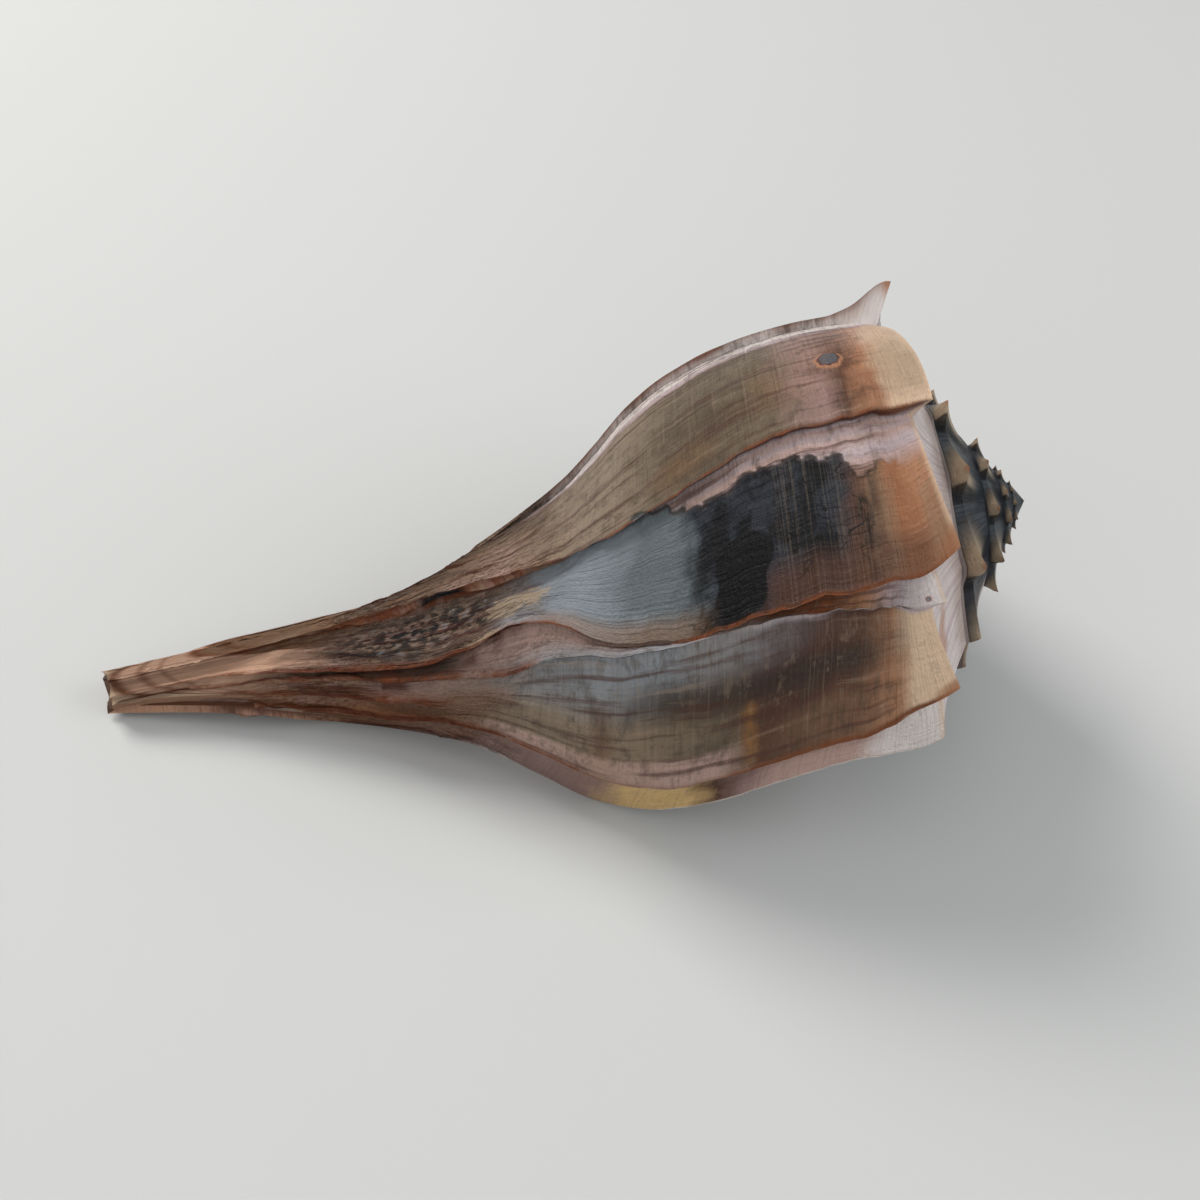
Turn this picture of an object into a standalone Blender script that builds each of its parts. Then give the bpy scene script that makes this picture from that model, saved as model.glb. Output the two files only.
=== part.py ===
"""Lightning whelk shell: a sea snail's shell, grown as one piece, that coils to the left.

The shell is one closed surface in three stretches, all read from the same growth law:
the outside, from the lip back over the whorls to the apex; the lip's edge; and the hollow
behind the lip, between the outer wall and the whorl before it.
Sizes are millimetres and growth is counted in whorls: 0 at the lip, -1 one whorl earlier.
The mesh is written in metres, +Z up, with its origin under the middle of its box.
"""

import bpy
import bmesh
import numpy as np

MILLIMETRE = 0.001
TURN = 2 * np.pi

# The whole shell and its growth
SHELL_LENGTH = 170.0
GROWTH_PER_WHORL = 1.79
SPIRE_WHORLS = 3.6
SHOULDER_RADIUS = 42.5
BODY_FALL = 0.465
SPIRE_FALL = 0.71
LIP_SHOULDER_DROP = 5.5
SUTURE_BELOW_SHOULDER = 4.4
RAMP_HOLLOW = 1.6
SPIRE_SAG = 2.4
SPIRE_SAG_LENGTH = 26.0

# The outer wall's profile at the lip: distance below the shoulder, and radius from the axis
PROFILE_DEPTHS = (0, 4, 10, 25, 40, 52, 62, 72, 80, 88, 98, 112, 126, 145)
PROFILE_RADII = (42.5, 44.0, 44.8, 45.6, 44.2, 41.4, 37.0, 29.6, 24.0, 20.2, 16.4, 11.8, 8.0, 3.5)

# The canal, which is a tube around the axis, and the column that the whorls coil around
CANAL_RADIUS_AT_BODY = 5.0
CANAL_RADIUS_AT_TIP = 3.4
CANAL_ROOT_DEPTH = 98.0
COLUMN_RADIUS = 1.5
CANAL_END_NOTCH = 3.0
BLEND = 1.0

# Walls
LIP_THICKNESS = 1.1
WALL_THICKNESS = 2.2
CANAL_WALL = 1.2

# How far the growth lines lean forward, in degrees, at distances below the shoulder
LEAN_DEPTHS = (0, 12, 25, 40, 55, 70, 90, 120, 145)
LEAN_BODY = (0, 1.0, 1.8, 3.4, 8.2, 12.6, 14.4, 12.0, 10.0)
LEAN_LIP = (0, -5.0, -6.1, 3.3, 16.0, 24.0, 29.0, 30.0, 26.0)

# Former lips on the last whorl: whorls before the present lip, how far the spine stands out
# and leans to the apex, how sudden it is, and how high the old edge stands over what follows
FORMER_LIPS = (
    (0.000, 0.2, 0.3, 1.0, 0.3),
    (0.052, 1.4, 3.2, 1.0, 1.1),
    (0.145, 1.8, 4.8, 1.0, 1.3),
    (0.244, 1.6, 3.8, 0.8, 1.4),
    (0.392, 7.8, 4.4, 4.5, 1.8),
    (0.510, 6.5, 3.0, 3.0, 1.1),
    (0.625, 7.5, 2.6, 3.0, 1.2),
    (0.745, 11.0, 2.0, 3.0, 1.0),
    (0.870, 5.0, 1.6, 3.0, 0.9),
    (1.000, 2.4, 1.0, 2.5, 0.6),
)
EDGE_DROP = 0.004
KNOBS_PER_WHORL = 9.5
KNOB_OUT = 4.6
KNOB_UP = 1.6
SPINE_REACH = 6.5
DIP_REACH = 9.5

# The pose, in which it lies on the lip, the canal's tip and one hidden spine: the axis's
# rise and turn, and the lip's angle below the horizontal
AXIS_RISE = np.radians(12.52)
AXIS_TURN = np.radians(10.4)
LIP_ANGLE = np.radians(14.72)

# The hollow: how far back the open canal and the hollow itself go, in whorls
CANAL_OPEN_BACK = 0.42
CANAL_CLOSING = 0.12
HOLLOW_BACK = 0.95
HOLLOW_STEPS = 20
HOLLOW_FLOOR = 112.0

# Mesh fineness: columns round a whorl, and rows from the seam to the end of the canal
EVEN_COLUMNS = 54
RAMP_SHARES = (0, 0.42, 0.74, 0.91, 1)
SEAM_ROWS = 2
BODY_ROWS = (7.5, 11, 17, 24, 32, 41, 50, 57, 63, 69, 75, 82, 91, 102)
CANAL_ROWS = 6


def ease(value, low, high):
    """Rises smoothly from 0 at low to 1 at high."""
    t = np.clip((value - low) / (high - low), 0, 1)
    return t * t * (3 - 2 * t)


def through(place_at, places, values):
    """A smooth curve through the named values, read at place_at."""
    x = np.asarray(places, float)
    y = np.asarray(values, float)
    step = np.diff(x)
    slope = np.diff(y) / step
    tangent = np.concatenate([slope[:1], (slope[:-1] + slope[1:]) / 2, slope[-1:]])
    i = np.clip(np.searchsorted(x, place_at) - 1, 0, len(step) - 1)
    t = (np.clip(place_at, x[0], x[-1]) - x[i]) / step[i]
    level = (2 * t**3 - 3 * t**2 + 1) * y[i] + (3 * t**2 - 2 * t**3) * y[i + 1]
    bend = (t**3 - 2 * t**2 + t) * tangent[i] + (t**3 - t**2) * tangent[i + 1]
    return level + bend * step[i]


def shoulder(turn):
    """Scale, depth below the apex where the profile starts, and the shoulder's dip below it."""
    scale = GROWTH_PER_WHORL**turn
    fall = BODY_FALL + (SPIRE_FALL - BODY_FALL) * ease(-turn, 0.2, 1.2)
    depth = fall * SHOULDER_RADIUS * scale + LIP_SHOULDER_DROP * ease(turn, -0.16, 0)
    dip = 1.3 + 5.8 * ease(-turn, 0, 0.12) - 2.7 * ease(-turn, 0.17, 0.3)
    return scale, depth, dip - 4.4 * ease(-turn, 0.45, 0.9)


def lip_waves(turn):
    """The spines' reach outwards and to the apex, and the old edges' height, at a turn."""
    rows = [(-back, out, up, power, edge) for back, out, up, power, edge in FORMER_LIPS]
    for n in range(1, int(KNOBS_PER_WHORL * (SPIRE_WHORLS + 1))):
        at = -1 - n / KNOBS_PER_WHORL
        scale = GROWTH_PER_WHORL**at
        rows.append((at, KNOB_OUT * scale, KNOB_UP * scale, 2.2, 0.8 * scale))
    out_sum = np.zeros_like(turn)
    up_sum = np.zeros_like(turn)
    edge_sum = np.zeros_like(turn)
    for (at, out, up, power, edge), older in zip(rows, rows[1:]):
        grown = np.clip((turn - older[0]) / (at - older[0]), 0, 1)
        past = 1 - np.clip((turn - at) / EDGE_DROP, 0, 1)
        out_sum += out * grown**power * past
        up_sum += up * grown**power * past
        edge_sum += edge * grown**4 * past
    return out_sum, up_sum, edge_sum


def wall(turn, depth, relief):
    """Radius, angle and depth below the apex of the wall, at a depth below the shoulder.

    relief is 1 where the spines and old edges show and 0 on the smooth inner surfaces.
    """
    turn, depth = np.broadcast_arrays(np.asarray(turn, float), depth)
    scale, start, dip = shoulder(turn)
    radius = scale * through(depth / scale, PROFILE_DEPTHS, PROFILE_RADII)
    below_apex = start + depth
    taper = ease(below_apex, CANAL_ROOT_DEPTH, SHELL_LENGTH)
    tube = CANAL_RADIUS_AT_BODY + (CANAL_RADIUS_AT_TIP - CANAL_RADIUS_AT_BODY) * taper
    inner = ease(-turn, 0.62, 0.98)
    tube = tube * (1 - inner) + COLUMN_RADIUS * inner
    radius = (radius + tube + np.sqrt((radius - tube) ** 2 + BLEND**2)) / 2
    out, up, edge = lip_waves(turn)
    crest = np.exp(-((depth / (SPINE_REACH * np.sqrt(scale))) ** 2))
    sunk = np.exp(-((depth / (DIP_REACH * np.sqrt(scale))) ** 2))
    on_body = ease(depth / scale, 0, 12) * (1 - 0.6 * ease(depth / scale, 75, 110))
    radius = radius + relief * (out * crest + edge * on_body)
    below_apex = below_apex + dip * sunk - relief * up * crest
    near_lip = ease(turn, -0.12, -0.02)
    lean = (1 - near_lip) * through(depth / scale, LEAN_DEPTHS, LEAN_BODY)
    lean = lean + near_lip * through(depth / scale, LEAN_DEPTHS, LEAN_LIP)
    return radius, LIP_ANGLE + TURN * turn + np.radians(lean), below_apex


def ramp(turn, share, relief):
    """The sloping ledge from the seam on the whorl before (share 0) to the shoulder (1)."""
    turn, share = np.broadcast_arrays(np.asarray(turn, float), share)
    seam = SUTURE_BELOW_SHOULDER * GROWTH_PER_WHORL ** (turn - 1)
    seam_r, seam_angle, seam_d = wall(turn - 1, seam, 1)
    top_r, top_angle, top_d = wall(turn, np.zeros_like(turn), 0)
    out, up, _ = lip_waves(turn)
    peak = relief * share**3
    radius = seam_r + (top_r - seam_r) * share + out * peak
    angle = seam_angle + TURN + (top_angle - seam_angle - TURN) * share
    below = seam_d + (top_d - seam_d) * share**1.4 - up * peak
    hollow = RAMP_HOLLOW * GROWTH_PER_WHORL**turn * 4 * share * (1 - share)
    return radius, angle, below + hollow


def place(radius, angle, below_apex):
    """World point, in millimetres, from radius, angle and depth below the apex."""
    rise, turn = AXIS_RISE, AXIS_TURN
    axis = np.array([np.cos(rise) * np.cos(turn), np.cos(rise) * np.sin(turn), np.sin(rise)])
    side = np.array([np.sin(turn), -np.cos(turn), 0])
    down = np.cross(axis, side)
    along = (SHELL_LENGTH - below_apex)[..., None] * axis
    across = np.cos(angle)[..., None] * side + np.sin(angle)[..., None] * down
    sag = SPIRE_SAG * np.clip(1 - below_apex / SPIRE_SAG_LENGTH, 0, 1) ** 2
    return along + radius[..., None] * across + sag[..., None] * down


def canal_end(turn):
    """Depth below the apex at which the canal ends: a shallow notch on its upper side."""
    facing = np.cos(LIP_ANGLE + TURN * turn + np.radians(29))
    return SHELL_LENGTH - CANAL_END_NOTCH * np.clip(facing, 0, 1) ** 2 * ease(-turn, 1, 0.9)


def wall_rows(turn, end):
    """Depths below the shoulder of the rows between the seam's row and the canal's end."""
    scale, start, _ = shoulder(turn)
    body = np.multiply.outer(scale, BODY_ROWS)
    share = np.arange(1, CANAL_ROWS + 1) / CANAL_ROWS
    canal = body[..., -1:] + (end - start)[..., None] * share - body[..., -1:] * share
    return np.concatenate([body, canal], axis=-1)


def inner_face(turn, end, thickness):
    """The outer wall's inner face, row by row: the smooth wall moved in by its thickness."""
    seam = SUTURE_BELOW_SHOULDER * GROWTH_PER_WHORL**turn
    seam_rows = np.multiply.outer(seam, np.arange(1, SEAM_ROWS + 1) / SEAM_ROWS)
    depths = np.concatenate([seam_rows, wall_rows(turn, end)], axis=-1)
    under_ramp = ramp(turn[:, None], np.array(RAMP_SHARES[1:]), 0)
    under_wall = wall(turn[:, None], depths, 0)
    radius, angle, below = (np.hstack(pair) for pair in zip(under_ramp, under_wall))
    run_r = np.gradient(radius, axis=1)
    run_d = np.gradient(below, axis=1)
    length = np.hypot(run_r, run_d)
    canal = ease(below, 90, 125)
    thick = thickness[:, None] * (1 - canal) + np.minimum(thickness[:, None], CANAL_WALL) * canal
    radius = radius - thick * run_d / length
    below = below + thick * np.clip(run_r, 0, None) / length
    return radius, angle, below


def column_turns():
    """Growth turns of one whorl's columns, with a pair at each former lip for its drop."""
    even = [-n / EVEN_COLUMNS for n in range(EVEN_COLUMNS + 1)]
    lips = [-row[0] for row in FORMER_LIPS]
    pairs = lips + [at + EDGE_DROP for at in lips[1:]]
    clear = EDGE_DROP * 1.5
    apart = [turn for turn in even if min(abs(turn - pair) for pair in pairs) > clear]
    return np.array(sorted(pairs + apart, reverse=True))


def build_shell():
    """Points and faces of the closed surface: outside, lip, hollow and the canal's end."""
    stretches = []
    faces = []

    def add(radius, angle, below_apex):
        """Numbers of new points, in the shape of the arrays that place them."""
        start = sum(len(stretch) for stretch in stretches)
        stretches.append(place(radius, angle, below_apex).reshape(-1, 3))
        return start + np.arange(radius.size).reshape(radius.shape)

    def skin(first, second):
        """Quads between two rows of point numbers, or triangles where a side is one point."""
        for n in range(len(first) - 1):
            ring = []
            for spot in (first[n], first[n + 1], second[n + 1], second[n]):
                if int(spot) not in ring:
                    ring.append(int(spot))
            if len(ring) > 2:
                faces.append(ring)

    turns = column_turns()
    whorl = len(turns) - 1
    total = int(whorl * (1 + SPIRE_WHORLS))
    numbers = np.arange(total + 1)
    growth = turns[numbers % whorl] - numbers // whorl
    last = growth[: whorl + 1]
    ramps = add(*ramp(growth[:, None], np.array(RAMP_SHARES), 1))
    seam = SUTURE_BELOW_SHOULDER * GROWTH_PER_WHORL**growth
    seam_rows = np.multiply.outer(seam, np.arange(1, SEAM_ROWS) / SEAM_ROWS)
    crests = add(*wall(growth[:, None], seam_rows, 1))
    seams = add(*wall(last[:, None], seam[: whorl + 1, None], 1))
    walls = add(*wall(last[:, None], wall_rows(last, canal_end(last)), 1))
    seam_line = np.concatenate([seams[:-1, 0], ramps[: total + 1 - whorl, 0]])
    spire = np.hstack([ramps, crests, seam_line[:, None]])
    for column in range(total):
        skin(spire[column], spire[column + 1])
    below_seam = np.hstack([seam_line[: whorl + 1, None], walls])
    for column in range(whorl):
        skin(below_seam[column], below_seam[column + 1])
    rim = list(ramps[total - whorl :, 0]) + list(spire[total][1:-1])
    rim.append(rim[0])
    centre = np.zeros(1)
    apex = add(centre, centre, centre)[0]
    skin(rim, [apex] * len(rim))

    back = HOLLOW_BACK * (np.arange(HOLLOW_STEPS + 1) / HOLLOW_STEPS) ** 1.15
    open_steps = int((back <= CANAL_OPEN_BACK).sum()) - 1
    scale, start, _ = shoulder(-back)
    shut = ease(back, CANAL_OPEN_BACK, CANAL_OPEN_BACK + CANAL_CLOSING)
    floor = start + HOLLOW_FLOOR * scale
    outer_end = canal_end(-back) * (1 - shut) + floor * shut
    inner_end = canal_end(-back - 1) * (1 - shut) + floor * shut
    thickness = LIP_THICKNESS + (WALL_THICKNESS - LIP_THICKNESS) * ease(back, 0, 0.05)
    column_side = add(*wall(-back[1:, None] - 1, wall_rows(-back[1:] - 1, inner_end[1:]), 0))
    column_side = np.vstack([walls[whorl], column_side])
    wall_side = add(*inner_face(-back, outer_end, thickness))
    wall_side = np.hstack([column_side[:, :1], wall_side])
    outside_edge = np.concatenate([spire[0], walls[0]])
    skin(outside_edge, wall_side[0])
    for step in range(HOLLOW_STEPS):
        skin(wall_side[step + 1], wall_side[step])
        skin(column_side[step], column_side[step + 1])
        if step >= open_steps:
            skin(
                [column_side[step, -1], column_side[step + 1, -1]],
                [wall_side[step, -1], wall_side[step + 1, -1]],
            )
    lead = wall_side.shape[1] - column_side.shape[1]
    skin(wall_side[-1, : lead + 1], [column_side[-1, 0]] * (lead + 1))
    skin(wall_side[-1, lead:], column_side[-1])
    ring = list(walls[:, -1]) + list(column_side[1 : open_steps + 1, -1])
    ring += list(wall_side[open_steps::-1, -1])
    faces.append([int(spot) for spot in ring])
    return np.vstack(stretches), faces


def shell_material():
    """Worn tan and grey shell, half matt."""
    material = bpy.data.materials.new("shell_surface")
    material.use_nodes = True
    shader = material.node_tree.nodes["Principled BSDF"]
    shader.inputs["Base Color"].default_value = (0.42, 0.30, 0.22, 1)
    shader.inputs["Roughness"].default_value = 0.45
    shader.inputs["Metallic"].default_value = 0.0
    return material


def main():
    for old in list(bpy.data.objects):
        bpy.data.objects.remove(old, do_unlink=True)
    points, faces = build_shell()
    low = points.min(axis=0)
    high = points.max(axis=0)
    base = np.array([(low[0] + high[0]) / 2, (low[1] + high[1]) / 2, low[2]])
    mesh = bpy.data.meshes.new("shell")
    mesh.from_pydata(((points - base) * MILLIMETRE).tolist(), [], faces)
    model = bmesh.new()
    model.from_mesh(mesh)
    bmesh.ops.triangulate(model, faces=model.faces[:], ngon_method="EAR_CLIP")
    bmesh.ops.recalc_face_normals(model, faces=model.faces[:])
    model.to_mesh(mesh)
    model.free()
    mesh.shade_smooth()
    shell = bpy.data.objects.new("shell", mesh)
    shell.data.materials.append(shell_material())
    bpy.context.scene.collection.objects.link(shell)


main()
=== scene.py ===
"""Lightning whelk shell as it looks: worn, mended, banded grey-brown, slate and cream.

One closed surface, grown by the same law as the solid: growth is counted in whorls, 0 at
the lip and -1 one whorl earlier, and sizes are millimetres until the mesh is written.
"""

import bpy
import numpy as np
from mathutils import Matrix, Vector


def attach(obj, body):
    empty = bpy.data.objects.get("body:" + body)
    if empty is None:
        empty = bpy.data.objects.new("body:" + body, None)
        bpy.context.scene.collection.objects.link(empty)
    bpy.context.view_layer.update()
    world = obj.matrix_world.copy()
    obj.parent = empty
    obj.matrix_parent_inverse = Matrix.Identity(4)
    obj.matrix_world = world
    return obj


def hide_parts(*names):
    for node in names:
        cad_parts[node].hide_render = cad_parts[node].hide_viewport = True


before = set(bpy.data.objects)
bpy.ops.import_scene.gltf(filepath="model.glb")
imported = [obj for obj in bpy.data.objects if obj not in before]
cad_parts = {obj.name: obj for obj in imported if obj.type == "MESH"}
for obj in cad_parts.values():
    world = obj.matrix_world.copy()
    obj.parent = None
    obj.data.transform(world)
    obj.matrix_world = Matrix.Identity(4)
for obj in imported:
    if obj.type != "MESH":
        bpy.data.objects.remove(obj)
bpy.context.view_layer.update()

MILLIMETRE = 0.001
TURN = 2 * np.pi

# Growth, as in the solid
SHELL_LENGTH = 170.0
GROWTH_PER_WHORL = 1.79
SPIRE_WHORLS = 3.6
SHOULDER_RADIUS = 42.5
BODY_FALL = 0.465
SPIRE_FALL = 0.71
LIP_SHOULDER_DROP = 5.5
SUTURE_BELOW_SHOULDER = 4.4
RAMP_HOLLOW = 1.6
SPIRE_SAG = 2.4
SPIRE_SAG_LENGTH = 26.0
PROFILE_DEPTHS = (0, 4, 10, 25, 40, 52, 62, 72, 80, 88, 98, 112, 126, 145)
PROFILE_RADII = (42.5, 44.0, 44.8, 45.6, 44.2, 41.4, 37.0, 29.6, 24.0, 20.2, 16.4, 11.8, 8.0, 3.5)
CANAL_RADIUS_AT_BODY = 5.0
CANAL_RADIUS_AT_TIP = 3.4
CANAL_ROOT_DEPTH = 98.0
COLUMN_RADIUS = 1.5
CANAL_END_NOTCH = 2.3
CANAL_TIP_BACK = 0.42
BLEND = 1.0
LIP_THICKNESS = 1.1
WALL_THICKNESS = 2.2
CANAL_WALL = 1.2
LEAN_DEPTHS = (0, 12, 25, 40, 55, 70, 90, 120, 145)
LEAN_BODY = (0, 1.0, 1.8, 3.4, 8.2, 12.6, 14.4, 12.0, 10.0)
LEAN_LIP = (0, -5.0, -6.1, 3.3, 16.0, 24.0, 29.0, 30.0, 26.0)

# Former lips: whorls before the present lip, the spine's reach out and to the apex, how
# sudden it is, the old edge's height, and the depths below the shoulder where it shows
FORMER_LIPS = (
    (0.000, 0.2, 0.3, 1.0, 0.3, 0, 200),
    (0.052, 1.4, 3.2, 1.0, 1.5, 0, 132),
    (0.078, 0.0, 0.0, 1.0, 1.2, 86, 135),
    (0.112, 0.9, 2.6, 1.0, 0.7, 0, 200),
    (0.145, 1.8, 4.8, 1.0, 1.5, 0, 200),
    (0.244, 1.6, 3.8, 0.8, 1.6, 0, 200),
    (0.392, 7.8, 4.4, 4.5, 1.8, 0, 110),
    (0.510, 6.5, 3.0, 3.0, 1.1, 0, 200),
    (0.625, 7.5, 2.6, 3.0, 1.2, 0, 200),
    (0.745, 11.0, 2.0, 3.0, 1.0, 0, 200),
    (0.870, 5.0, 1.6, 3.0, 0.9, 0, 200),
    (1.000, 2.4, 1.0, 2.5, 0.6, 0, 200),
)
EDGE_DROP = 0.003
KNOB_DROP = 0.034
UNDERCUT = 0.0015
UNDERCUT_REACH = 0.012
KNOBS_PER_WHORL = 9.5
KNOB_OUT = 7.4
KNOB_UP = 3.2
KNOB_REACH = 2.6
SPINE_REACH = 6.5
DIP_REACH = 9.5

# How far, in whorls, each old edge swings from its place at these distances below the shoulder
SWING_DEPTHS = (0, 6, 12, 20, 30, 42, 55, 66, 74, 82, 91, 100, 107, 115, 125, 140)
SWINGS = {
    0.000: (0, 0, 0, 0, 0, 0, 0, 0, 0.003, 0.010, 0.012, 0.010, 0, -0.05, -0.06, -0.04),
    0.052: (
        *(0, 0.010, 0.019, 0.026, 0.024, 0.020, 0.012, 0.001, -0.003, -0.005, -0.013, 0.010),
        *(0.006, 0.02, 0.02, 0.02),
    ),
    0.078: (0, 0, 0, 0, 0, 0, -0.01, -0.012, -0.01, -0.01, 0, -0.006, 0.004, 0.010, 0.002, 0),
    0.112: (
        *(0, -0.005, -0.010, -0.015, -0.020, -0.023, -0.028, -0.036, -0.030, -0.005, 0.001),
        *(0.009, 0.013, 0.016, 0.018, 0.02),
    ),
    0.145: (
        *(0, 0.010, 0.008, 0.007, 0.005, 0.006, 0.001, -0.012, -0.034, -0.036, -0.010),
        *(0.014, 0.020, 0.024, 0.02, -0.01),
    ),
    0.244: (
        *(0, 0.003, 0.002, 0.001, 0.002, 0.005, 0.009, 0.008, 0.006, 0.003, 0, -0.004),
        *(0.003, 0.004, -0.004, -0.010),
    ),
}
JAG = 0.0014
LOWEST_RELIEF = -0.45

# Growth turn and depth below the shoulder of the healed pits and of the slot in the canal
LARGE_PIT = (-0.302, 18.7)
SMALL_PIT = (-0.117, 3.2)
SLOT_TURN = -0.2515
SLOT_DEPTH = 101.0

# The pose and the axis's place, in the frame of the solid
AXIS_RISE = np.radians(12.52)
AXIS_TURN = np.radians(10.4)
LIP_ANGLE = np.radians(14.72)
AXIS_FOOT = np.array([-81.27, -19.53, 3.11])

# The hollow
CANAL_OPEN_BACK = 0.42
CANAL_CLOSING = 0.12
HOLLOW_BACK = 0.95
HOLLOW_STEPS = 54
HOLLOW_FLOOR = 112.0

# Mesh fineness
SEEN_COLUMNS = 190
HIDDEN_COLUMNS = 96
SEEN_BACK = 0.43
RAMP_ROWS = 12
SEAM_ROWS = 4
BODY_ROWS = 104
BODY_ROW_SPAN = (5.6, 104.0)
CANAL_ROWS = 80
RAMP_SPAN = 12.0
CRISP_ANGLE = np.radians(42)

FLOOR_REACH = 4.0
GLASSY = 0.16
STUDIO_GLOW = 0.25

# Millimetres round a whorl of the body, for patterns that are as long round it as along it
WHORL_ROUND = 250.0
DEPTH_IN_MAP = 100.0

# The camera, as the photograph was taken
CAMERA_RISE = np.radians(45.913)
CAMERA_ROLL = np.radians(3.848)
CAMERA_DISTANCE = 287.382
CAMERA_TARGET = np.array([7.564, -12.297, 28.196])
CAMERA_ANGLE = np.radians(40)


def ease(value, low, high):
    """Rises smoothly from 0 at low to 1 at high."""
    t = np.clip((value - low) / (high - low), 0, 1)
    return t * t * (3 - 2 * t)


def through(place_at, places, values):
    """A smooth curve through the named values, read at place_at."""
    x = np.asarray(places, float)
    y = np.asarray(values, float)
    step = np.diff(x)
    slope = np.diff(y) / step
    tangent = np.concatenate([slope[:1], (slope[:-1] + slope[1:]) / 2, slope[-1:]])
    i = np.clip(np.searchsorted(x, place_at) - 1, 0, len(step) - 1)
    t = (np.clip(place_at, x[0], x[-1]) - x[i]) / step[i]
    level = (2 * t**3 - 3 * t**2 + 1) * y[i] + (3 * t**2 - 2 * t**3) * y[i + 1]
    bend = (t**3 - 2 * t**2 + t) * tangent[i] + (t**3 - t**2) * tangent[i + 1]
    return level + bend * step[i]


def noise(x, y, seed):
    """Smooth random heights from -1 to 1: eased blends between a lattice's random corners."""
    lattice = np.random.default_rng(seed).random((61, 61)) * 2 - 1
    x, y = np.broadcast_arrays(np.asarray(x, float), np.asarray(y, float))
    i = np.floor(x).astype(int)
    j = np.floor(y).astype(int)
    a = ease(x - i, 0, 1)
    b = ease(y - j, 0, 1)
    low = lattice[i % 61, j % 61] * (1 - a) + lattice[(i + 1) % 61, j % 61] * a
    high = lattice[i % 61, (j + 1) % 61] * (1 - a) + lattice[(i + 1) % 61, (j + 1) % 61] * a
    return low * (1 - b) + high * b


def shoulder(turn):
    """Scale, depth below the apex where the profile starts, and the shoulder's dip below it."""
    scale = GROWTH_PER_WHORL**turn
    fall = BODY_FALL + (SPIRE_FALL - BODY_FALL) * ease(-turn, 0.2, 1.2)
    depth = fall * SHOULDER_RADIUS * scale + LIP_SHOULDER_DROP * ease(turn, -0.16, 0)
    dip = 1.3 + 5.8 * ease(-turn, 0, 0.12) - 2.7 * ease(-turn, 0.17, 0.3)
    return scale, depth, dip - 4.4 * ease(-turn, 0.45, 0.9)


def lip_waves(turn, depth):
    """The spines' reach out and to the apex, and the old edges' height, at a turn and depth."""
    rows = [(-back, *rest) for back, *rest in FORMER_LIPS]
    for n in range(1, int(KNOBS_PER_WHORL * (SPIRE_WHORLS + 1))):
        at = -1 - n / KNOBS_PER_WHORL
        scale = GROWTH_PER_WHORL**at
        rows.append((at, KNOB_OUT * scale, KNOB_UP * scale, 3.6, 0.8 * scale, 0, 200))
    spined = [row[0] for row in rows if row[1] > 0]
    out_sum = np.zeros(np.broadcast(turn, depth).shape)
    up_sum = np.zeros_like(out_sum)
    edge_sum = np.zeros_like(out_sum)
    for at, out, up, power, edge, top, bottom in rows[:-1]:
        older = max(place for place in spined if place < at)
        grown = np.clip((turn - older) / (at - older), 0, 1)
        if at < -1:
            past = ease(turn - at, KNOB_DROP, 0)
        else:
            past = 1 - np.clip((turn - at) / EDGE_DROP, 0, 1)
        out_sum += out * grown**power * past
        up_sum += up * grown**power * past
        shown = ease(depth, top, top + 12) * ease(depth, bottom, bottom - 30)
        edge_sum += edge * grown**4 * past * shown
    return out_sum, up_sum, edge_sum


def swing(turn, depth):
    """Whorls by which the growth lines swing and fray, blended from one old edge to the next.

    Just past an old edge the newer wall starts a little way back under it.
    """
    places = [-row[0] for row in FORMER_LIPS] + [-1.2]
    total = np.zeros(np.broadcast(turn, depth).shape)
    for row in FORMER_LIPS[1:-1]:
        beyond = turn + row[0]
        under = np.clip(beyond / EDGE_DROP, 0, 1) * ease(beyond, UNDERCUT_REACH, EDGE_DROP)
        total -= (EDGE_DROP + UNDERCUT) * under * ease(depth, row[5] + 4, row[5] + 14)
    for n, at in enumerate(places[:-1]):
        newer = places[n - 1] if n else at + 1
        after = np.clip((newer - turn) / (newer - at), 0, 1)
        before = np.clip((turn - places[n + 1]) / (at - places[n + 1]), 0, 1)
        near = np.where(turn < at, before, after)
        line = through(depth, SWING_DEPTHS, SWINGS.get(-at, (0,) * len(SWING_DEPTHS)))
        frayed = noise(depth / 5.5, n, 11) + 0.6 * noise(depth / 1.9, n, 12)
        total += near * (line + JAG * ease(depth, 3, 14) * frayed)
    return total


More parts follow.
